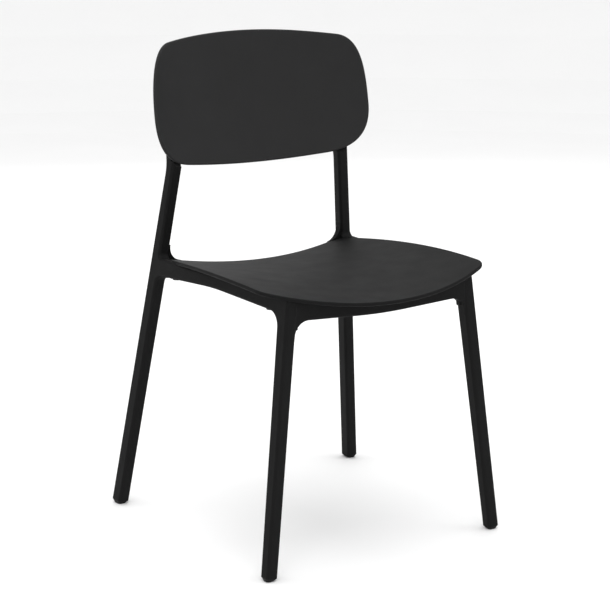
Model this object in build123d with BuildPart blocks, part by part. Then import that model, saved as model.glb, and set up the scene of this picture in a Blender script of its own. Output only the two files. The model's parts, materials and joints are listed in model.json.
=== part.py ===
from build123d import *
import math
import os

os.makedirs("parts", exist_ok=True)

# Sizes in mm. Front is -Y, the sitter's left is +X, the floor is Z = 0.

# Fits used wherever two pieces meet
clearance = 0.3

# Side frame: one flat moulding that leans inward and toes in
splay_x = 227.1
toe_in = 0.0513
lean_in = 0.121
frame_thickness = 20.0
frame_edge_radius = 4.5

# Heights and widths that the rest is measured from
rail_top_z = 434.0
panel_z = 686.6

# Bars of the side frame
glide_height = 5.0
front_foot_y = -217.2
front_leg_slope = 0.054
front_leg_depth_top = 26.0
front_leg_depth_foot = 20.0
rear_foot_y = 231.2
rear_bar_slope = 0.135
rear_bar_depth = 25.5
upright_bend_z = panel_z - 101.6
notch_top_z = panel_z - 80.6
lug_top_z = panel_z - 18.6
lug_recline = 0.25
lug_depth = 24.0
bend_radius = 60.0

# Side rail, between the front leg and the rear bar
rail_low_rear_z = rail_top_z - 29.5
rail_low_mid_z = rail_top_z - 21.0
rail_low_front_z = rail_top_z - 27.5
arch_rear_radius = 15.0
arch_front_radius = 24.0
upright_foot_radius = 8.0
upright_foot_inset = 3.0
upright_head_inset = 6.0

# Seat plate: a dished, gently crowned sheet
seat_thickness = 6.0
seat_height = rail_top_z - 10.3
seat_crest_y = -59.0
seat_dish_radius = 900.0
seat_crown_radius = 2600.0
seat_front_y = -243.7
seat_corner_x = splay_x - 15.6
seat_corner_y = -193.0
seat_side_x = splay_x - 21.7
seat_side_y = -7.0
seat_rear_x = splay_x - 51.5
seat_rear_y = 176.7
seat_rear_mid_y = 154.0
seat_corner_radius = 32.0
seat_rim_radius = 2.4
ear_radius = 26.0
sheet_margin = 38.5
seat_sheet_half_angle = 6.5
ear_lip = 0.8
rib_thickness = 3.0
rib_depth = 9.0
rib_length = 316.0
rib_mid_y = -22.0
rib_xs = (-111.0, -37.0, 37.0, 111.0)
rib_ys = (-134.0, -60.0, 14.0, 88.0)

# Back panel: a thin shell curved both ways
panel_thickness = 6.0
panel_recline = 6.93
panel_upright_radius = 594.0
panel_mid_radius = 520.0
panel_mid_half = splay_x - 132.1
panel_side_radius = 262.0
panel_half_width = splay_x - 18.7
panel_top = 112.4
panel_bottom = -110.0
panel_widest_v = -24.0
low_corner_pull = 49.0
high_corner_pull = 36.0
high_side_pull = 68.0
panel_rim_radius = 2.4
panel_sheet_half_angle = 15.0
panel_sheet_side_angle = 36.0
pad_depth = 6.0
panel_gap = 5.0
pad_width = 26.0
pad_height = 82.0
pad_x = splay_x - 68.1

# How far the panel wraps forward at its pads sets where its middle stands
panel_set_back = 24.467
panel_mid_turn = math.asin(panel_mid_half / panel_mid_radius)
panel_turn_shift = panel_mid_radius - panel_side_radius
panel_side_x = panel_turn_shift * math.sin(panel_mid_turn)
panel_side_r = panel_upright_radius - panel_mid_radius + panel_turn_shift * math.cos(panel_mid_turn)
panel_pad_r = panel_side_r + math.sqrt(panel_side_radius**2 - (pad_x - panel_side_x) ** 2)
panel_wrap = panel_upright_radius - panel_pad_r
panel_y = rear_foot_y - rear_bar_slope * panel_z + panel_set_back + panel_wrap
pad_v = -54.0

# Cross rails
front_rail_depth = 18.0
front_rail_mid_z = rail_top_z - 45.5
front_rail_end_z = rail_top_z - 37.5
front_rail_tip_z = rail_top_z - 68.0
front_rail_round = 3.0
gusset_radius = 24.0
rear_rail_depth = 14.0
rear_rail_inset = 2.0
rear_rail_low_z = rail_top_z - 50.0
rear_rail_end_z = rail_top_z - 35.0
rear_rail_wall = 3.0
rear_block_width = 14.0
rail_wall = 4.0
rail_end_wall = 7.0
tongue_length = 6.0
tongue_depth = 9.0
front_tongue_height = 14.0
rear_tongue_height = 6.0
tongue_gap = 1.5

# Screws, inserts and small parts
screw_radius = 2.5
screw_head_radius = 4.5
screw_head_height = 3.0
seat_screw_length = 18.0
rail_screw_length = 19.0
washer_radius = 5.2
washer_thickness = 1.0
insert_radius = 3.5
insert_length = 11.0
seat_boss_radius = 6.0
seat_boss_length = 8.0
back_insert_length = 8.0
back_insert_sink = 1.5
cap_radius = 5.4
cap_thickness = 1.6
bumper_radius = 5.5
bumper_stem_radius = 3.0
bumper_height = 1.8
bumper_stem_length = 7.0
glide_stem_radius = 4.5
glide_stem_length = 22.0

# Tall blocks that trim the seat's sheets
block_low_z = rail_top_z - 54.0
block_height = 120.0

# Where the fasteners sit
front_rail_screw_z = rail_top_z - 30.0
rear_rail_screw_z = rail_top_z - 21.5
side_boss_ys = (-120.0, 62.0)
front_boss_x = 76.0
rear_boss_x = 62.0
back_screw_zs = (panel_z - 74.6, panel_z - 40.6)
bumper_ys = (-150.0, 118.0)

side_plane = Plane(
    origin=(splay_x, 0, 0),
    x_dir=(toe_in, 1, 0),
    z_dir=(1, -toe_in, lean_in),
)


def frame_x(y, z):
    return splay_x + toe_in * y - lean_in * z


def frame_point(y, z):
    return Vector(frame_x(y, z), y, z)


def on_side(y, z):
    local = side_plane.to_local_coords(frame_point(y, z))
    return (local.X, local.Y)


def front_leg_y(z):
    return front_foot_y + front_leg_slope * z


def rear_bar_y(z):
    return rear_foot_y - rear_bar_slope * z


def front_leg_half(z):
    share = z / rail_top_z
    return (front_leg_depth_foot + (front_leg_depth_top - front_leg_depth_foot) * share) / 2


def rear_bar_half():
    return rear_bar_depth / 2 * math.sqrt(1 + rear_bar_slope**2)


def seat_top_z(x, y):
    dish = x**2 / (2 * seat_dish_radius)
    crown = (y - seat_crest_y) ** 2 / (2 * seat_crown_radius)
    return seat_height + dish - crown


def radial_plane(axis_y, axis_z, angle):
    tilt = math.radians(angle)
    return Plane(
        origin=(0, axis_y, axis_z),
        x_dir=(1, 0, 0),
        z_dir=(0, -math.cos(tilt), math.sin(tilt)),
    )


def seat_sheet(high, low):
    # Sheet between two heights measured from the seat's top surface
    axis_z = seat_height - seat_crown_radius
    half_angle = seat_sheet_half_angle
    half_width = seat_corner_x + sheet_margin
    centre = seat_crown_radius + seat_dish_radius
    with BuildPart() as sheet:
        with BuildSketch(radial_plane(seat_crest_y, axis_z, half_angle)):
            with BuildLine():
                ends = []
                for level in (high, low):
                    radius = seat_dish_radius - level
                    rise = centre - math.sqrt(radius**2 - half_width**2)
                    ThreePointArc((-half_width, rise), (0, centre - radius), (half_width, rise))
                    ends.append(rise)
                Line((half_width, ends[0]), (half_width, ends[1]))
                Line((-half_width, ends[0]), (-half_width, ends[1]))
            make_face()
        axis = Axis((0, seat_crest_y, axis_z), (1, 0, 0))
        revolve(axis=axis, revolution_arc=2 * half_angle)
    return sheet.part


def seat_outline(grow):
    # Plan shape of the seat, as a tall block
    with BuildPart() as block:
        with BuildSketch(Plane.XY.offset(block_low_z)):
            with BuildLine():
                ThreePointArc(
                    (-seat_corner_x, seat_corner_y),
                    (0, seat_front_y),
                    (seat_corner_x, seat_corner_y),
                )
                for hand in (1, -1):
                    ThreePointArc(
                        (hand * seat_corner_x, seat_corner_y),
                        (hand * seat_side_x, seat_side_y),
                        (hand * seat_rear_x, seat_rear_y),
                    )
                ThreePointArc(
                    (-seat_rear_x, seat_rear_y),
                    (0, seat_rear_mid_y),
                    (seat_rear_x, seat_rear_y),
                )
            plan = make_face()
            fillet(plan.vertices().group_by(Axis.Y)[0], seat_corner_radius)
            if grow:
                offset(amount=grow, kind=Kind.INTERSECTION)
        extrude(amount=block_height)
    return block.part


def panel_sheet(front, back):
    # Sheet between two depths measured back from the panel's front surface
    tilt = math.radians(panel_recline)
    axis_y = panel_y - panel_upright_radius * math.cos(tilt)
    axis_z = panel_z + panel_upright_radius * math.sin(tilt)
    half_angle = panel_sheet_half_angle
    mid_angle = math.degrees(panel_mid_turn)
    side_angle = panel_sheet_side_angle
    centre_r = panel_upright_radius - panel_mid_radius
    side_centre = (panel_side_x, panel_side_r)
    with BuildPart() as sheet:
        with BuildSketch(radial_plane(axis_y, axis_z, 90 + panel_recline + half_angle)):
            with BuildLine():
                ends = []
                for level in (front, back):
                    start = 90 - mid_angle
                    CenterArc((0, centre_r), panel_mid_radius + level, start, 2 * mid_angle)
                    radius = panel_side_radius + level
                    right = CenterArc(side_centre, radius, start - side_angle, side_angle)
                    left_centre = (-side_centre[0], side_centre[1])
                    CenterArc(left_centre, radius, 90 + mid_angle, side_angle)
                    ends.append(right @ 0)
                Line(ends[0], ends[1])
                Line((-ends[0].X, ends[0].Y), (-ends[1].X, ends[1].Y))
            make_face()
        axis = Axis((0, axis_y, axis_z), (1, 0, 0))
        revolve(axis=axis, revolution_arc=2 * half_angle)
    return sheet.part


panel_plane = Plane(
    origin=(0, panel_y, panel_z),
    x_dir=(1, 0, 0),
    z_dir=(0, -math.cos(math.radians(panel_recline)), math.sin(math.radians(panel_recline))),
)


def arc_end_tilt(half_width, rise):
    # Slope angle at the end of an arc that rises this much over half its width
    return 2 * math.atan(rise / half_width)


def panel_outline():
    # Front shape of the back panel, as a deep block
    low_x = panel_half_width * 0.654
    low_v = panel_bottom + 5.9
    high_x = panel_half_width * 0.782
    high_v = panel_top - 15.1
    low_tilt = arc_end_tilt(low_x, low_v - panel_bottom)
    high_tilt = arc_end_tilt(high_x, panel_top - high_v)
    with BuildPart() as block:
        with BuildSketch(panel_plane.offset(-40)):
            with BuildLine():
                ThreePointArc((-low_x, low_v), (0, panel_bottom), (low_x, low_v))
                ThreePointArc((-high_x, high_v), (0, panel_top), (high_x, high_v))
                for hand in (1, -1):
                    wide = hand * panel_half_width
                    low_out = low_x + low_corner_pull * math.cos(low_tilt)
                    high_out = high_x + high_corner_pull * math.cos(high_tilt)
                    Bezier(
                        (hand * low_x, low_v),
                        (hand * low_out, low_v + low_corner_pull * math.sin(low_tilt)),
                        (wide, panel_widest_v - low_corner_pull),
                        (wide, panel_widest_v),
                    )
                    Bezier(
                        (wide, panel_widest_v),
                        (wide, panel_widest_v + high_side_pull),
                        (hand * high_out, high_v - high_corner_pull * math.sin(high_tilt)),
                        (hand * high_x, high_v),
                    )
            make_face()
        extrude(amount=120)
    return block.part


def side_frame_profile():
    # Side view of front leg, side rail, rear leg and upright as one outline
    front_half = front_leg_half(glide_height)
    front_top_half = front_leg_half(rail_top_z)
    half = rear_bar_half()
    arch_rear = on_side(rear_bar_y(rail_low_rear_z) - half, rail_low_rear_z)
    arch_mid = on_side(0, rail_low_mid_z)
    front_inner = front_leg_y(rail_low_front_z) + front_leg_half(rail_low_front_z)
    arch_front = on_side(front_inner, rail_low_front_z)
    upright_foot = on_side(rear_bar_y(rail_top_z) - half + upright_foot_inset, rail_top_z)
    bend_y = rear_bar_y(upright_bend_z)
    lug_rise = lug_top_z - upright_bend_z
    lug_back_y = bend_y + half + lug_recline * lug_rise
    notch_top = on_side(rear_bar_y(notch_top_z) - half + upright_head_inset, notch_top_z)
    bend_back = on_side(bend_y + half, upright_bend_z)
    lug_front = on_side(lug_back_y - lug_depth, lug_top_z)
    lug_back = on_side(lug_back_y, lug_top_z)
    points = [
        on_side(front_leg_y(glide_height) - front_half, glide_height),
        on_side(front_leg_y(rail_top_z) - front_top_half, rail_top_z),
        upright_foot,
        notch_top,
        lug_front,
        lug_back,
        bend_back,
        on_side(rear_bar_y(glide_height) + half, glide_height),
        on_side(rear_bar_y(glide_height) - half, glide_height),
        arch_rear,
        arch_mid,
        arch_front,
        on_side(front_leg_y(glide_height) + front_half, glide_height),
    ]
    rounds = [
        (upright_foot, upright_foot_radius),
        (bend_back, bend_radius),
        (lug_back, lug_depth * 0.4),
        (arch_rear, arch_rear_radius),
        (arch_mid, bend_radius * 10),
        (arch_front, arch_front_radius),
    ]
    with BuildSketch(side_plane) as profile:
        with BuildLine():
            Polyline(points, close=True)
        make_face()
        for corner, radius in rounds:
            fillet(profile.vertices().sort_by_distance(corner)[0], radius)
    return profile.sketch


def leg_axis_plane(y, slope, z):
    # Plane across a leg at height z, looking up along the leg
    rise = Vector(toe_in * slope - lean_in, slope, 1)
    return Plane(origin=frame_point(y, z), x_dir=(1, -toe_in, lean_in), z_dir=rise)


def upright_plane(z):
    return leg_axis_plane(rear_bar_y(z), -rear_bar_slope, z)


def inner_face_spot(y, z, depth):
    # Point this deep inside the frame, measured from its inner face
    offset_in = side_plane.z_dir * (depth - frame_thickness / 2)
    return frame_point(y, z) + offset_in


def joint_plane(y, z, depth):
    # Plane parallel to the frame's inner face, looking outward
    return Plane(
        origin=inner_face_spot(y, z, depth),
        x_dir=side_plane.x_dir,
        z_dir=side_plane.z_dir,
    )


def rear_rail_mid_y(x):
    # The rear rail follows the seat's rear edge
    bow = seat_rear_y - seat_rear_mid_y
    radius = (seat_rear_x**2 + bow**2) / (2 * bow)
    edge = seat_rear_mid_y + radius - math.sqrt(radius**2 - x**2)
    return edge - rear_rail_inset - rear_rail_depth / 2


front_rail_mid_y = (
    front_leg_y(front_rail_screw_z)
    - front_leg_half(front_rail_screw_z)
    + front_rail_depth / 2
    + 1.0
)
rear_joint_y = rear_bar_y(rear_rail_screw_z)
rail_joints = (
    (front_rail_mid_y, front_rail_screw_z, front_tongue_height),
    (rear_joint_y, rear_rail_screw_z, rear_tongue_height),
)


def tongue_z(screw_z, height):
    # Tongues sit just below their screw's washer
    return screw_z - height / 2 - washer_radius - tongue_gap


def back_screw_plane(z):
    # On the rear face of the lug, looking forward into the panel
    rise = z - upright_bend_z
    y = rear_bar_y(upright_bend_z) + rear_bar_half() + lug_recline * rise
    up = Vector(toe_in * lug_recline - lean_in, lug_recline, 1)
    forward = side_plane.z_dir.cross(up)
    return Plane(origin=frame_point(y, z), x_dir=side_plane.z_dir, z_dir=forward)


def seat_under_z(x, y):
    return seat_top_z(x, y) - seat_thickness


# Seat screw axes on the +X half, with the level each washer bears on
side_boss_level = rail_low_mid_z + screw_head_height + washer_thickness
side_bosses = [(frame_x(y, rail_low_mid_z + 12), y, side_boss_level) for y in side_boss_ys]
front_boss = (front_boss_x, front_rail_mid_y, front_rail_mid_z + 12.5)
rear_boss = (rear_boss_x, rear_rail_mid_y(rear_boss_x), rear_rail_low_z + 12.0)
all_bosses = [*side_bosses, front_boss, rear_boss]


def boss_cuts(spots, recess_drop):
    # Pocket for each seat boss above, screw hole, and head recess below
    with BuildPart() as cuts:
        for x, y, bearing in spots:
            boss_level = seat_under_z(x, y) - seat_boss_length - clearance
            levels = (
                (boss_level, seat_boss_length * 2, seat_boss_radius + clearance),
                (bearing, boss_level - bearing, screw_radius + clearance),
                (bearing, -recess_drop, washer_radius + clearance),
            )
            for level, height, radius in levels:
                with BuildSketch(Plane.XY.offset(level)):
                    with Locations((x, y)):
                        Circle(radius)
                extrude(amount=height)
    return cuts.part


def foot_plane(leg_y):
    # Across the flat end of a leg, looking up
    return Plane(
        origin=frame_point(leg_y, glide_height),
        x_dir=side_plane.z_dir,
        z_dir=side_plane.y_dir,
    )


def bumper_plane(y):
    # On the side rail's lower edge, looking up into it
    if y < 0:
        end_y = front_leg_y(rail_low_front_z) + front_leg_half(rail_low_front_z)
        fall = (rail_low_front_z - rail_low_mid_z) / end_y
    else:
        end_y = rear_bar_y(rail_low_rear_z) - rear_bar_half()
        fall = (rail_low_rear_z - rail_low_mid_z) / end_y
    along = Vector(toe_in - lean_in * fall, 1, fall)
    spot = frame_point(y, rail_low_mid_z + fall * y)
    return Plane(origin=spot, x_dir=along, z_dir=side_plane.z_dir.cross(along))


def pegs(planes, start, length, radius, bore=0):
    # One peg or ring on each plane, on both sides of the chair
    with BuildPart() as group:
        for plane in planes:
            with BuildSketch(plane.offset(start)):
                Circle(radius)
                if bore:
                    Circle(bore, mode=Mode.SUBTRACT)
            extrude(amount=length)
        mirror(about=Plane.YZ)
    return group.part


def panel_level(point):
    # Depth of a point behind the panel's front surface, near its sides
    tilt = math.radians(panel_recline)
    axis_y = panel_y - panel_upright_radius * math.cos(tilt)
    axis_z = panel_z + panel_upright_radius * math.sin(tilt)
    reach = math.hypot(point.Y - axis_y, point.Z - axis_z)
    return math.hypot(abs(point.X) - panel_side_x, reach - panel_side_r) - panel_side_radius


def pad_distance(plane):
    # How far along a back screw's axis the panel's pad begins
    distance = 0.0
    for _ in range(12):
        point = plane.origin + plane.z_dir * distance
        distance = distance + panel_level(point) - panel_thickness - pad_depth
    return distance


back_screw_planes = [back_screw_plane(z) for z in back_screw_zs]
pad_distances = [pad_distance(plane) for plane in back_screw_planes]


# Side frame, sitter's left
def panel_clearance(low_v, depth):
    # Room for the panel above this level, down to this depth behind its front
    with BuildPart() as room:
        with BuildSketch(panel_plane.offset(-60)):
            with Locations((pad_x, low_v + pad_height)):
                Rectangle(90, 2 * pad_height)
        extrude(amount=140)
        add(panel_sheet(-60, depth + clearance), mode=Mode.INTERSECT)
    return room.part


with BuildPart() as panel_pocket:
    add(panel_clearance(panel_bottom + panel_gap, panel_thickness))
    add(panel_clearance(pad_v - pad_height / 2 - clearance, panel_thickness + pad_depth))

seat_block = seat_outline(clearance)
fillet_start_y = rear_bar_y(rail_top_z) - rear_bar_half() - upright_foot_radius
with BuildPart() as seat_pocket:
    Box(600, fillet_start_y * 2, 2000)
    add(seat_sheet(30, -seat_thickness - clearance), mode=Mode.INTERSECT)
    add(seat_sheet(clearance, -seat_thickness - clearance))
    add(seat_block, mode=Mode.INTERSECT)

with BuildPart() as frame_blank:
    extrude(side_frame_profile(), frame_thickness / 2, side_plane.z_dir, both=True)
    broad_faces = frame_blank.faces().sort_by(Axis(frame_point(0, 0), side_plane.z_dir))
    rims = broad_faces[0].edges() + broad_faces[-1].edges()
    rims = rims.filter_by(lambda edge: edge.center().Z > glide_height * 2)
    fillet(rims, frame_edge_radius)

with BuildPart() as side_frame_left:
    add(frame_blank.part)
    add(seat_pocket.part, mode=Mode.SUBTRACT)
    add(panel_pocket.part, mode=Mode.SUBTRACT)
    # Holes for the glide stems
    for foot_y in (front_leg_y(glide_height), rear_bar_y(glide_height)):
        with BuildSketch(foot_plane(foot_y)):
            Circle(glide_stem_radius)
        extrude(amount=glide_stem_length + 2, mode=Mode.SUBTRACT)
    # Insert bores and mortises of the two rail joints
    for y, z, height in rail_joints:
        with BuildSketch(joint_plane(y, z, 0)):
            Circle(insert_radius)
        extrude(amount=insert_length + 2, mode=Mode.SUBTRACT)
        with BuildSketch(joint_plane(y, tongue_z(z, height), 0)):
            RectangleRounded(tongue_depth + clearance, height + clearance, 1.5)
        extrude(amount=tongue_length + clearance, mode=Mode.SUBTRACT)
    add(boss_cuts(side_bosses, 20), mode=Mode.SUBTRACT)
    # Counterbored holes through the lug
    for plane in back_screw_planes:
        with BuildSketch(plane):
            Circle(cap_radius)
        extrude(amount=cap_thickness + screw_head_height, mode=Mode.SUBTRACT)
        with BuildSketch(plane):
            Circle(screw_radius + clearance)
        extrude(amount=lug_depth * 2, mode=Mode.SUBTRACT)
    # Blind holes for the stacking bumpers
    for y in bumper_ys:
        with BuildSketch(bumper_plane(y)):
            Circle(bumper_stem_radius)
        extrude(amount=bumper_stem_length + 1, mode=Mode.SUBTRACT)

with BuildPart() as side_frame_right:
    add(side_frame_left.part.mirror(Plane.YZ))


def between_frames(gap):
    # Block between the two side frames' inner faces, less a gap each side
    with BuildPart() as block:
        Box(600, 700, 1200)
        for turn in (1, -1):
            face = joint_plane(0, 0, -gap)
            face = Plane(
                origin=(face.origin.X * turn, face.origin.Y, face.origin.Z),
                x_dir=(face.x_dir.X * turn, face.x_dir.Y, face.x_dir.Z),
                z_dir=(face.z_dir.X * turn, face.z_dir.Y, face.z_dir.Z),
            )
            split(bisect_by=face, keep=Keep.BOTTOM)
    return block.part


def rail_tongues(joint):
    # Tongues that enter the frames' mortises
    y, z, height = joint
    with BuildPart() as tongues:
        with BuildSketch(joint_plane(y, tongue_z(z, height), -rail_end_wall)):
            RectangleRounded(tongue_depth, height, 1.5)
        extrude(amount=rail_end_wall + tongue_length)
        mirror(about=Plane.YZ)
    return tongues.part


def rail_screw_cuts(joint, head_room):
    # Screw holes in the rail's end walls, with room for head and washer
    y, z, height = joint
    plane = joint_plane(y, z, 0)
    holes = pegs([plane], -rail_end_wall - 1, rail_end_wall * 2, screw_radius + clearance)
    heads = pegs([plane], -rail_end_wall - head_room, head_room, washer_radius + clearance)
    return holes + heads


rail_reach = between_frames(clearance / 2)
frame_envelope = frame_blank.part.moved(Location(side_plane.z_dir * (-clearance / 2)))
above_seat_under = seat_sheet(60, -seat_thickness - clearance)


def front_rail_profile():
    # Front view: lower edge dips at mid-width, with a gusset at each leg
    end_x = frame_x(front_rail_mid_y, front_rail_end_z) - frame_thickness / 2 - 1.5
    tip_x = frame_x(front_rail_mid_y, front_rail_tip_z) - frame_thickness / 2 - 1.5
    reach = tip_x + 10
    corner = (end_x, front_rail_end_z)
    with BuildSketch(Plane.XZ.offset(-front_rail_mid_y)) as apron:
        with BuildLine():
            Polyline(
                (0, front_rail_mid_z),
                corner,
                (tip_x, front_rail_tip_z),
                (reach, front_rail_tip_z),
                (reach, rail_top_z),
                (0, rail_top_z),
                close=True,
            )
        make_face()
        fillet(apron.vertices().sort_by_distance(corner)[0], gusset_radius)
        mirror(about=Plane.YZ)
        fillet(apron.vertices().sort_by_distance((0, front_rail_mid_z))[0], 900)
    return apron.sketch


# Front rail: an apron under the seat's front, cored out from behind
with BuildPart() as front_rail:
    extrude(front_rail_profile(), front_rail_depth / 2, both=True)
    low_rims = [
        edge
        for face in front_rail.faces().filter_by(Axis.Y)
        for edge in face.edges()
        if edge.center().Z < rail_top_z - 5 and not edge.is_closed
    ]
    tip_x = frame_x(front_rail_mid_y, front_rail_tip_z) - frame_thickness / 2 + 1
    low_rims = [edge for edge in low_rims if max(abs((edge @ 0).X), abs((edge @ 1).X)) < tip_x]
    fillet(low_rims, front_rail_round)
    # The ends lap the legs' rounded corners, so the faces run on without a groove
    add(between_frames(1 - frame_edge_radius), mode=Mode.INTERSECT)
    add(frame_envelope, mode=Mode.SUBTRACT)
    add(frame_envelope.mirror(Plane.YZ), mode=Mode.SUBTRACT)
    add(above_seat_under, mode=Mode.SUBTRACT)
    # Pockets between ribs on the rear side
    back_y = front_rail_mid_y + front_rail_depth / 2
    pocket_low = front_rail_mid_z + rail_wall + 1.5
    pocket_high = seat_under_z(0, back_y) - rail_wall
    pocket_mid = (pocket_low + pocket_high) / 2
    bay_end = frame_x(*rail_joints[0][:2]) - frame_thickness / 2 - rail_end_wall - 1
    boss_reach = seat_boss_radius + rail_wall - 1
    bays = (
        (rib_thickness / 2, front_boss_x - boss_reach),
        (front_boss_x + boss_reach, bay_end),
    )
    with BuildSketch(Plane.XZ.offset(-back_y)):
        for near, far in bays:
            with Locations(((near + far) / 2, pocket_mid), (-(near + far) / 2, pocket_mid)):
                RectangleRounded(far - near, pocket_high - pocket_low, 2.5)
    extrude(amount=front_rail_depth - rail_wall, mode=Mode.SUBTRACT)
    add(rail_screw_cuts(rail_joints[0], 7), mode=Mode.SUBTRACT)
    front_cuts = boss_cuts([front_boss], 20)
    add(front_cuts, mode=Mode.SUBTRACT)
    add(front_cuts.mirror(Plane.YZ), mode=Mode.SUBTRACT)
    add(rail_tongues(rail_joints[0]))


rear_reach = seat_rear_x - 5.6


def rear_band(front_inset, back_inset, near_x, far_x, low_z, height):
    # Strip that follows the seat's rear edge, as a block
    with BuildPart() as band:
        with BuildSketch(Plane.XY.offset(low_z)):
            with BuildLine():
                corners = []
                for inset in (back_inset, front_inset):
                    shift = rear_rail_depth / 2 - inset
                    spots = [
                        (x, rear_rail_mid_y(x) + shift)
                        for x in (near_x, (near_x + far_x) / 2, far_x)
                    ]
                    ThreePointArc(*spots)
                    corners.append((spots[0], spots[2]))
                Line(corners[0][0], corners[1][0])
                Line(corners[0][1], corners[1][1])
            make_face()
        extrude(amount=height)
    return band.part


# Rear rail: a bowed channel under the seat's rear edge, open below
with BuildPart() as rear_rail:
    add(rear_band(rear_rail_depth, 0, -rear_reach, rear_reach, rear_rail_low_z, 50))
    with BuildSketch(Plane.XZ):
        with BuildLine():
            low = ThreePointArc(
                (-seat_rear_x, rear_rail_end_z),
                (0, rear_rail_low_z),
                (seat_rear_x, rear_rail_end_z),
            )
            Polyline(low @ 0, (-seat_rear_x, rail_top_z), (seat_rear_x, rail_top_z), low @ 1)
        make_face()
    extrude(amount=300, both=True, mode=Mode.INTERSECT)
    block_y = rear_bar_y(rear_rail_end_z)
    for hand in (1, -1):
        with BuildSketch(Plane.XY.offset(rear_rail_end_z)):
            with Locations((hand * (seat_rear_x - rear_block_width + 2), block_y - 3)):
                RectangleRounded(rear_block_width * 2, rear_bar_depth - 4, 7)
        extrude(amount=34)
    add(rail_reach, mode=Mode.INTERSECT)
    add(above_seat_under, mode=Mode.SUBTRACT)
    boss_reach = seat_boss_radius + rear_rail_wall - 1
    rear_bay_end = frame_x(*rail_joints[1][:2]) - frame_thickness / 2 - rear_block_width - 8
    for near, far in (
        (-rear_boss_x + boss_reach, -rib_thickness / 2),
        (rib_thickness / 2, rear_boss_x - boss_reach),
        (rear_boss_x + boss_reach, rear_bay_end),
        (-rear_bay_end, -rear_boss_x - boss_reach),
    ):
        walls = (rear_rail_depth - rear_rail_wall, rear_rail_wall)
        add(rear_band(*walls, near, far, rear_rail_low_z - 1, 21), mode=Mode.SUBTRACT)
    add(rail_screw_cuts(rail_joints[1], 30), mode=Mode.SUBTRACT)
    rear_cuts = boss_cuts([rear_boss], 20)
    add(rear_cuts, mode=Mode.SUBTRACT)
    add(rear_cuts.mirror(Plane.YZ), mode=Mode.SUBTRACT)
    add(rail_tongues(rail_joints[1]))


def ear_web():
    # Fillet web from the seat's rear corner up the upright's inner face
    ear_y = seat_rear_y - 8
    inner_x = -frame_thickness / 2 - clearance / 2
    base_z = seat_top_z(frame_x(ear_y, seat_height), ear_y) - 1.2
    plane = upright_plane(base_z)
    far_x = inner_x - ear_lip - ear_radius
    with BuildPart() as web:
        with BuildSketch(Plane(origin=plane.origin, x_dir=plane.x_dir, z_dir=-plane.y_dir)):
            with BuildLine():
                Line((inner_x, -3), (inner_x, ear_radius))
                Line((inner_x, ear_radius), (inner_x - ear_lip, ear_radius))
                ThreePointArc(
                    (inner_x - ear_lip, ear_radius),
                    (
                        far_x + ear_radius * math.sin(math.pi / 4),
                        ear_radius * (1 - math.cos(math.pi / 4)),
                    ),
                    (far_x, 0),
                )
                Line((far_x, 0), (far_x, -3))
                Line((far_x, -3), (inner_x, -3))
            make_face()
        extrude(amount=rear_bar_depth / 2 - frame_edge_radius, both=True)
    return web.part


# Seat shell
with BuildPart() as seat_plate:
    add(seat_sheet(0, -seat_thickness))
    add(seat_outline(0), mode=Mode.INTERSECT)
    skins = seat_plate.faces().sort_by(SortBy.AREA)[-2:]
    fillet(skins[0].edges() + skins[1].edges(), seat_rim_radius)

with BuildPart() as ribs:
    with BuildSketch(Plane.XY.offset(block_low_z)):
        with Locations(*[(x, rib_mid_y) for x in rib_xs]):
            Rectangle(rib_thickness, rib_length)
        with Locations(*[(0, y) for y in rib_ys]):
            Rectangle(rib_length, rib_thickness)
    extrude(amount=block_height)
    add(seat_sheet(-seat_thickness / 2, -seat_thickness - rib_depth), mode=Mode.INTERSECT)
    rail_zone = (-rear_reach, rear_reach, block_low_z, block_height)
    add(rear_band(rear_rail_depth + 3, -40, *rail_zone), mode=Mode.SUBTRACT)

with BuildPart() as ears:
    add(ear_web())
    mirror(about=Plane.YZ)
    add(seat_outline(0), mode=Mode.INTERSECT)

with BuildPart() as bosses:
    for x, y, bearing in all_bosses:
        low = seat_under_z(x, y) - seat_boss_length
        with BuildSketch(Plane.XY.offset(low)):
            with Locations((x, y), (-x, y)):
                Circle(seat_boss_radius)
        extrude(amount=seat_boss_length + seat_thickness / 2)

with BuildPart() as boss_bores:
    for x, y, bearing in all_bosses:
        with BuildSketch(Plane.XY.offset(bearing - 5)):
            with Locations((x, y), (-x, y)):
                Circle(screw_radius)
        extrude(amount=5 - washer_thickness + seat_screw_length + 0.5)

with BuildPart() as seat_shell:
    add(seat_plate.part)
    add(ribs.part)
    add(ears.part)
    add(bosses.part)
    add(boss_bores.part, mode=Mode.SUBTRACT)


def mounting_pads():
    # Thick pads on the panel's back, where the lugs bear
    with BuildPart() as pads:
        with BuildSketch(panel_plane.offset(-60)):
            with Locations(Location((pad_x, pad_v), math.degrees(math.atan(lean_in)))):
                RectangleRounded(pad_width, pad_height, 8)
        extrude(amount=80)
        mirror(about=Plane.YZ)
        add(
            panel_sheet(panel_thickness / 2, panel_thickness + pad_depth),
            mode=Mode.INTERSECT,
        )
    return pads.part


# Back panel
with BuildPart() as back_panel:
    add(panel_sheet(0, panel_thickness))
    add(panel_outline(), mode=Mode.INTERSECT)
    skins = back_panel.faces().sort_by(SortBy.AREA)[-6:]
    rims = [
        edge
        for edge in back_panel.edges()
        if sum(edge in face.edges() for face in skins) == 1
    ]
    fillet(rims, panel_rim_radius)
    add(mounting_pads())
    for plane, distance in zip(back_screw_planes, pad_distances):
        start = distance - 4
        length = 4 + back_insert_sink + back_insert_length + 0.3
        add(pegs([plane], start, length, insert_radius), mode=Mode.SUBTRACT)


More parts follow.
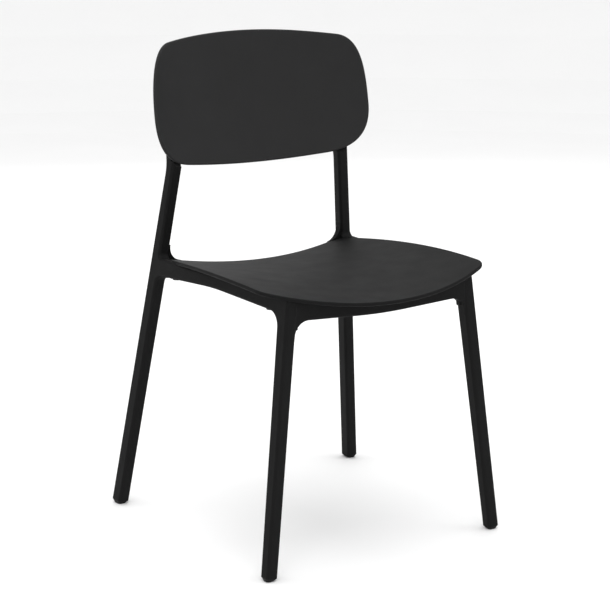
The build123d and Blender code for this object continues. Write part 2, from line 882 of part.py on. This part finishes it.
def glide(leg_y, slope, depth):
    # Tapered foot with a stem pressed into the leg's end
    with BuildPart() as foot:
        with BuildSketch(Plane.XY):
            with Locations((frame_x(leg_y(0), 0), leg_y(0))):
                RectangleRounded(frame_thickness - 6, depth - 7, 4.5)
        with BuildSketch(foot_plane(leg_y(glide_height))):
            RectangleRounded(frame_thickness - 1, depth - 1, 4.2)
        loft()
        with BuildSketch(foot_plane(leg_y(glide_height)).offset(-1)):
            Circle(glide_stem_radius)
        extrude(amount=glide_stem_length + 1)
    return foot.part


with BuildPart() as glide_front_left:
    add(glide(front_leg_y, front_leg_slope, front_leg_depth_foot))

with BuildPart() as glide_front_right:
    add(glide_front_left.part.mirror(Plane.YZ))

with BuildPart() as glide_rear_left:
    add(glide(rear_bar_y, -rear_bar_slope, rear_bar_depth))

with BuildPart() as glide_rear_right:
    add(glide_rear_left.part.mirror(Plane.YZ))

# Rail joints: screws with washers go outward into threaded inserts
joint_planes = [joint_plane(y, z, 0) for y, z, height in rail_joints]
washer_start = -rail_end_wall - washer_thickness
with BuildPart() as rail_screws:
    add(pegs(joint_planes, washer_start, rail_screw_length, screw_radius))
    add(pegs(joint_planes, washer_start - screw_head_height, screw_head_height, screw_head_radius))

with BuildPart() as rail_washers:
    add(pegs(joint_planes, washer_start, washer_thickness, washer_radius, screw_radius + 0.2))

with BuildPart() as rail_inserts:
    add(pegs(joint_planes, 0.5, insert_length, insert_radius, screw_radius))

# Seat screws come up from below
seat_planes = [Plane((x, y, bearing - washer_thickness)) for x, y, bearing in all_bosses]
with BuildPart() as seat_screws:
    add(pegs(seat_planes, 0, seat_screw_length, screw_radius))
    add(pegs(seat_planes, -screw_head_height, screw_head_height, screw_head_radius))

with BuildPart() as seat_washers:
    add(pegs(seat_planes, 0, washer_thickness, washer_radius, screw_radius + 0.2))

# Back panel screws, their inserts in the pads and the caps that hide them
with BuildPart() as back_screws:
    for plane, distance in zip(back_screw_planes, pad_distances):
        shank = distance + back_insert_sink + back_insert_length - cap_thickness
        shank = shank - screw_head_height - 1
        add(pegs([plane], cap_thickness + screw_head_height, shank, screw_radius))
        add(pegs([plane], cap_thickness, screw_head_height, screw_head_radius))

with BuildPart() as back_inserts:
    for plane, distance in zip(back_screw_planes, pad_distances):
        start = distance + back_insert_sink
        add(pegs([plane], start, back_insert_length, insert_radius, screw_radius))

with BuildPart() as back_screw_caps:
    add(pegs(back_screw_planes, 0, cap_thickness, cap_radius))
    fillet(back_screw_caps.edges().sort_by(Axis.Y)[-2:], 0.5)

bumper_planes = [bumper_plane(y) for y in bumper_ys]
with BuildPart() as stacking_bumpers:
    add(pegs(bumper_planes, -bumper_height, bumper_height, bumper_radius))
    add(pegs(bumper_planes, 0, bumper_stem_length, bumper_stem_radius))

nodes = {
    "side_frame_left": side_frame_left,
    "side_frame_right": side_frame_right,
    "front_rail": front_rail,
    "rear_rail": rear_rail,
    "seat_shell": seat_shell,
    "back_panel": back_panel,
    "glide_front_left": glide_front_left,
    "glide_front_right": glide_front_right,
    "glide_rear_left": glide_rear_left,
    "glide_rear_right": glide_rear_right,
    "rail_screws": rail_screws,
    "rail_washers": rail_washers,
    "rail_inserts": rail_inserts,
    "seat_screws": seat_screws,
    "seat_washers": seat_washers,
    "back_screws": back_screws,
    "back_inserts": back_inserts,
    "back_screw_caps": back_screw_caps,
    "stacking_bumpers": stacking_bumpers,
}
for label, piece in nodes.items():
    piece.part.label = label
    export_step(piece.part, "parts/" + label + ".step")
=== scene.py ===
import json
import math

import bmesh
import bpy
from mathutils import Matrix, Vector

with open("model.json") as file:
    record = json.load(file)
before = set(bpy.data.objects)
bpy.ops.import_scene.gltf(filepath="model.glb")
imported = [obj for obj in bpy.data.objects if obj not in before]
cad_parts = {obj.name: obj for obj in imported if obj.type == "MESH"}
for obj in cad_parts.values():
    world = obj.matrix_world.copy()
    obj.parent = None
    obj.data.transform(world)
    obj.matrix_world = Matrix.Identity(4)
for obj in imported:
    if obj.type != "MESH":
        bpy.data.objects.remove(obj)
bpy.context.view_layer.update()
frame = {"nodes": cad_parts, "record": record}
parts = frame["nodes"]
print("frame loaded:", len(parts), "nodes")


# shader sockets as Python values
class Wire:
    def __init__(self, maker, socket):
        self.maker = maker
        self.socket = socket

    def math(self, operation, first, second):
        return self.maker.add("ShaderNodeMath", {"operation": operation}, {0: first, 1: second})

    def __add__(self, other):
        return self.math("ADD", self, other)

    def __radd__(self, other):
        return self.math("ADD", other, self)

    def __sub__(self, other):
        return self.math("SUBTRACT", self, other)

    def __rsub__(self, other):
        return self.math("SUBTRACT", other, self)

    def __mul__(self, other):
        return self.math("MULTIPLY", self, other)

    def __rmul__(self, other):
        return self.math("MULTIPLY", other, self)

    def clamp(self, low=0.0, high=1.0):
        return self.math("MINIMUM", self.math("MAXIMUM", self, low), high)


# one material and the nodes added to it
class Finish:
    def __init__(self, name):
        self.material = bpy.data.materials.new(name)
        self.material.use_nodes = True
        self.tree = self.material.node_tree
        self.tree.nodes.clear()

    def add(self, kind, settings=None, values=None, output=0):
        node = self.tree.nodes.new(kind)
        for key, value in (settings or {}).items():
            if key == "stops":
                ramp = node.color_ramp
                while len(ramp.elements) < len(value):
                    ramp.elements.new(0.5)
                for element, (place, shade) in zip(ramp.elements, value):
                    element.position = place
                    element.color = (*shade, 1.0)
            else:
                setattr(node, key, value)
        for key, value in (values or {}).items():
            if isinstance(value, Wire):
                self.tree.links.new(value.socket, node.inputs[key])
            else:
                node.inputs[key].default_value = value
        return Wire(self, node.outputs[output]) if node.outputs else node

    def mixColour(self, factor, first, second):
        return self.add(
            "ShaderNodeMix",
            {"data_type": "RGBA"},
            {0: factor, 6: first, 7: second},
            output=2,
        )

    def scaled(self, coords, factors):
        return self.add("ShaderNodeVectorMath", {"operation": "MULTIPLY"}, {0: coords, 1: factors})

    def noise(self, coords, scale, detail=2.0, roughness=0.5):
        return self.add(
            "ShaderNodeTexNoise",
            {"noise_dimensions": "3D"},
            {"Vector": coords, "Scale": scale, "Detail": detail, "Roughness": roughness},
        )

    def ramp(self, factor, stops):
        return self.add(
            "ShaderNodeValToRGB",
            {"stops": [(place, (shade, shade, shade)) for place, shade in stops]},
            {"Fac": factor},
        )

    def edgeMask(self, radius, gain):
        # how far a rounded normal turns from the true one: strong on edges
        rounded = self.add("ShaderNodeBevel", {"samples": 4}, {"Radius": radius})
        true = self.add("ShaderNodeNewGeometry", output="Normal")
        facing = self.add(
            "ShaderNodeVectorMath", {"operation": "DOT_PRODUCT"}, {0: rounded, 1: true}, output="Value"
        )
        return ((1.0 - facing) * gain).clamp()

    def close(self, values):
        shader = self.add("ShaderNodeBsdfPrincipled", None, values)
        self.add("ShaderNodeOutputMaterial", None, {"Surface": shader})
        return self.material


def tint(colour, gain):
    return (colour[0] * gain, colour[1] * gain, colour[2] * gain, 1.0)


mouldedLook = {
    "grainScale": 1500.0,
    "grainDetail": 3.0,
    "grainRoughness": 0.6,
    "grainTint": 1.5,
    "grainMix": 0.35,
    "grainStrength": 0.35,
    "grainDistance": 0.00012,
    "grainGloss": 0.10,
    "flowScale": 7.0,
    "flowDetail": 3.0,
    "flowStretch": (1.0, 0.45, 1.0),
    "flowTints": (0.86, 1.16),
    "cloudScale": 26.0,
    "cloudDetail": 4.0,
    "cloudHeight": 0.4,
    "cloudGloss": 0.12,
    "scuffScale": 90.0,
    "scuffDetail": 5.0,
    "scuffRoughness": 0.7,
    "scuffStretch": (1.0, 7.0, 1.6),
    "scuffStops": [(0.60, 0.0), (0.74, 1.0)],
    "scuffTint": 2.2,
    "scuffMix": 0.10,
    "scuffGloss": 0.05,
    "edgeRadius": 0.0022,
    "edgeGain": 2.2,
    "edgeWear": (0.35, 0.9),
    "edgeTint": 2.6,
    "edgeMix": 0.55,
    "edgeGloss": 0.10,
    "roughLimits": (0.2, 0.95),
    "specular": 0.10,
    "ior": 1.5,
}


def mouldedPlastic(name, colour, roughness, look=mouldedLook):
    # satin moulded plastic: fine grain, faint flow clouds, rubbed edges, light scuffs
    finish = Finish(name)
    coords = finish.add("ShaderNodeTexCoord", output="Object")
    grain = finish.noise(coords, look["grainScale"], look["grainDetail"], look["grainRoughness"])
    flowCoords = finish.scaled(coords, look["flowStretch"])
    flow = finish.noise(flowCoords, look["flowScale"], look["flowDetail"])
    cloud = finish.noise(coords, look["cloudScale"], look["cloudDetail"])
    scuffCoords = finish.scaled(coords, look["scuffStretch"])
    scuffs = finish.noise(scuffCoords, look["scuffScale"], look["scuffDetail"], look["scuffRoughness"])
    scuffMask = finish.ramp(scuffs, look["scuffStops"])
    edges = finish.edgeMask(look["edgeRadius"], look["edgeGain"])
    leastWear, cloudWear = look["edgeWear"]
    worn = (edges * (leastWear + cloud * cloudWear)).clamp()
    deepTint, paleTint = look["flowTints"]
    flowed = finish.mixColour(flow, tint(colour, deepTint), tint(colour, paleTint))
    speckled = finish.mixColour(grain * look["grainMix"], flowed, tint(colour, look["grainTint"]))
    rubbed = finish.mixColour(worn * look["edgeMix"], speckled, tint(colour, look["edgeTint"]))
    scuffed = finish.mixColour(scuffMask * look["scuffMix"], rubbed, tint(colour, look["scuffTint"]))
    clouded = roughness + (cloud - 0.5) * look["cloudGloss"]
    rough = clouded + (grain - 0.5) * look["grainGloss"] - worn * look["edgeGloss"]
    relief = {
        "Strength": look["grainStrength"],
        "Distance": look["grainDistance"],
        "Height": grain + cloud * look["cloudHeight"],
    }
    return finish.close(
        {
            "Base Color": scuffed,
            "Roughness": (rough + scuffMask * look["scuffGloss"]).clamp(*look["roughLimits"]),
            "Normal": finish.add("ShaderNodeBump", None, relief),
            "Specular IOR Level": look["specular"],
            "IOR": look["ior"],
        }
    )


metalLook = {
    "lineScale": 1400.0,
    "lineDetail": 2.0,
    "lineStretch": (1.0, 1.0, 6.0),
    "lineStrength": 0.3,
    "lineDistance": 0.00005,
    "tarnishScale": 240.0,
    "tarnishDetail": 4.0,
    "tarnishTints": (0.72, 1.05),
    "tarnishGloss": 0.3,
    "edgeRadius": 0.0004,
    "edgeGain": 2.0,
    "edgeTint": 1.25,
    "edgeMix": 0.5,
    "roughLimits": (0.15, 0.9),
}


def turnedMetal(name, colour, roughness, look=metalLook):
    # plated or brass hardware: turning lines, light tarnish, bright edges
    finish = Finish(name)
    coords = finish.add("ShaderNodeTexCoord", output="Object")
    lineCoords = finish.scaled(coords, look["lineStretch"])
    lines = finish.noise(lineCoords, look["lineScale"], look["lineDetail"])
    tarnish = finish.noise(coords, look["tarnishScale"], look["tarnishDetail"])
    edges = finish.edgeMask(look["edgeRadius"], look["edgeGain"])
    deepTint, paleTint = look["tarnishTints"]
    dull = finish.mixColour(tarnish, tint(colour, deepTint), tint(colour, paleTint))
    bright = finish.mixColour(edges * look["edgeMix"], dull, tint(colour, look["edgeTint"]))
    relief = {"Strength": look["lineStrength"], "Distance": look["lineDistance"], "Height": lines}
    rough = roughness + (tarnish - 0.5) * look["tarnishGloss"]
    return finish.close(
        {
            "Base Color": bright,
            "Metallic": 1.0,
            "Roughness": rough.clamp(*look["roughLimits"]),
            "Normal": finish.add("ShaderNodeBump", None, relief),
        }
    )


rubberLook = {
    "colour": (0.028, 0.028, 0.028),
    "bloomScale": 320.0,
    "bloomDetail": 4.0,
    "bloomTints": (0.8, 1.5),
    "bloomGloss": 0.2,
    "poreScale": 1800.0,
    "poreDetail": 2.0,
    "poreStrength": 0.4,
    "poreDistance": 0.0001,
    "roughness": 0.72,
    "specular": 0.3,
}


def softRubber(name, look=rubberLook):
    # matte rubber with a dusty bloom
    finish = Finish(name)
    coords = finish.add("ShaderNodeTexCoord", output="Object")
    bloom = finish.noise(coords, look["bloomScale"], look["bloomDetail"])
    pores = finish.noise(coords, look["poreScale"], look["poreDetail"])
    deepTint, paleTint = look["bloomTints"]
    dusty = finish.mixColour(bloom, tint(look["colour"], deepTint), tint(look["colour"], paleTint))
    relief = {"Strength": look["poreStrength"], "Distance": look["poreDistance"], "Height": pores}
    return finish.close(
        {
            "Base Color": dusty,
            "Roughness": (look["roughness"] + bloom * look["bloomGloss"]).clamp(),
            "Normal": finish.add("ShaderNodeBump", None, relief),
            "Specular IOR Level": look["specular"],
        }
    )


plastics = {
    "frame_plastic": ((0.0048, 0.0048, 0.0049), 0.64),
    # seat_plastic is a touch darker than frame_plastic, though they are one black plastic: painted shade
    # that tones down the light falling on the seat top
    "seat_plastic": ((0.0042, 0.0042, 0.0043), 0.64),
    # back_plastic is about four times lighter than the frame and seat plastic, though they are one black
    # plastic: painted light standing in for the light falling on the back panel
    "back_plastic": ((0.0185, 0.0185, 0.0188), 0.60),
    "cap_plastic": ((0.0060, 0.0060, 0.0061), 0.55),
    "glide_nylon": ((0.0075, 0.0075, 0.0075), 0.50),
}
metals = {
    "zinc_steel": ((0.60, 0.60, 0.58), 0.34),
    "insert_brass": ((0.70, 0.52, 0.24), 0.38),
}
finishes = {name: mouldedPlastic(name, *look) for name, look in plastics.items()}
finishes.update({name: turnedMetal(name, *look) for name, look in metals.items()})
finishes["bumper_rubber"] = softRubber("bumper_rubber")
print("finishes made:", len(finishes))

slotOf = {row["node"]: row["material_slot"] for row in frame["record"]["subparts"]}
for name, piece in parts.items():
    piece.data.materials.clear()
    piece.data.materials.append(finishes[slotOf[name]])
    if not piece.hide_render:
        piece.data.shade_smooth()
print("finishes given to the frame's nodes")

floorLook = {
    "radius": 9.0,
    "flat": 5.0,
    "rise": 0.16,
    "rings": 32,
    "spokes": 96,
    "colour": (0.93, 0.93, 0.93),
    "mottleScale": 3.0,
    "mottleDetail": 3.0,
    "mottleTints": (0.985, 1.015),
    "roughness": 0.9,
    "specular": 0.1,
}


def makeFloor(look):
    # round pale floor, built ring by ring, its far rim swept gently upward
    mesh = bmesh.new()
    centre = mesh.verts.new((0, 0, 0))
    before = None
    for ring in range(1, look["rings"] + 1):
        reach = look["radius"] * (ring / look["rings"]) ** 2
        turns = [2 * math.pi * spoke / look["spokes"] for spoke in range(look["spokes"])]
        rise = look["rise"] * max(0.0, reach - look["flat"]) ** 2
        row = [mesh.verts.new((reach * math.cos(a), reach * math.sin(a), rise)) for a in turns]
        for spoke in range(look["spokes"]):
            after = (spoke + 1) % look["spokes"]
            if before is None:
                mesh.faces.new((centre, row[spoke], row[after]))
            else:
                mesh.faces.new((before[spoke], row[spoke], row[after], before[after]))
        before = row
    data = bpy.data.meshes.new("studioFloor")
    mesh.to_mesh(data)
    mesh.free()
    floor = bpy.data.objects.new("studioFloor", data)
    bpy.context.collection.objects.link(floor)
    finish = Finish("paleFloor")
    coords = finish.add("ShaderNodeTexCoord", output="Object")
    mottle = finish.noise(coords, look["mottleScale"], look["mottleDetail"])
    deepTint, paleTint = look["mottleTints"]
    shade = finish.mixColour(mottle, tint(look["colour"], deepTint), tint(look["colour"], paleTint))
    painted = {"Base Color": shade, "Roughness": look["roughness"], "Specular IOR Level": look["specular"]}
    data.materials.append(finish.close(painted))
    return floor


studioFloor = makeFloor(floorLook)

cameraLook = {
    "azimuth": -32.982,
    "elevation": 12.908,
    "distance": 2.9677,
    "target": (0.0, 0.0142, 0.3602),
    "lens": 106.18,
    "sensor": 36.0,
}


def placeCamera(look):
    a = math.radians(look["azimuth"])
    e = math.radians(look["elevation"])
    away = Vector((math.sin(a) * math.cos(e), -math.cos(a) * math.cos(e), math.sin(e)))
    data = bpy.data.cameras.new("studioCamera")
    data.lens = look["lens"]
    data.sensor_width = look["sensor"]
    camera = bpy.data.objects.new("studioCamera", data)
    camera.location = Vector(look["target"]) + away * look["distance"]
    camera.rotation_euler = away.to_track_quat("Z", "Y").to_euler()
    bpy.context.collection.objects.link(camera)
    bpy.context.scene.camera = camera


placeCamera(cameraLook)

lightAim = (0.0, 0.0, 0.4)
lightLooks = {
    "keyLight": {"place": (-1.6, -2.6, 3.4), "across": 2.8, "watts": 40.0},
    "fillLight": {"place": (2.8, -1.6, 2.0), "across": 2.4, "watts": 10.0},
    "topLight": {"place": (0.0, 0.2, 3.6), "across": 3.4, "watts": 60.0},
    "backLight": {"place": (1.6, 3.2, 1.7), "across": 2.6, "watts": 7.0},
}
for name, look in lightLooks.items():
    data = bpy.data.lights.new(name, "AREA")
    data.size = look["across"]
    data.energy = look["watts"]
    light = bpy.data.objects.new(name, data)
    light.location = look["place"]
    light.rotation_euler = (Vector(look["place"]) - Vector(lightAim)).to_track_quat("Z", "Y").to_euler()
    bpy.context.collection.objects.link(light)

worldLook = {"colour": (1.0, 1.0, 1.0, 1.0), "strength": 0.92}
world = bpy.data.worlds.new("studioWorld")
world.use_nodes = True
sky = world.node_tree.nodes["Background"]
sky.inputs["Color"].default_value = worldLook["colour"]
sky.inputs["Strength"].default_value = worldLook["strength"]
bpy.context.scene.world = world
bpy.context.scene.view_settings.view_transform = "Standard"
print("floor, camera and lights placed")
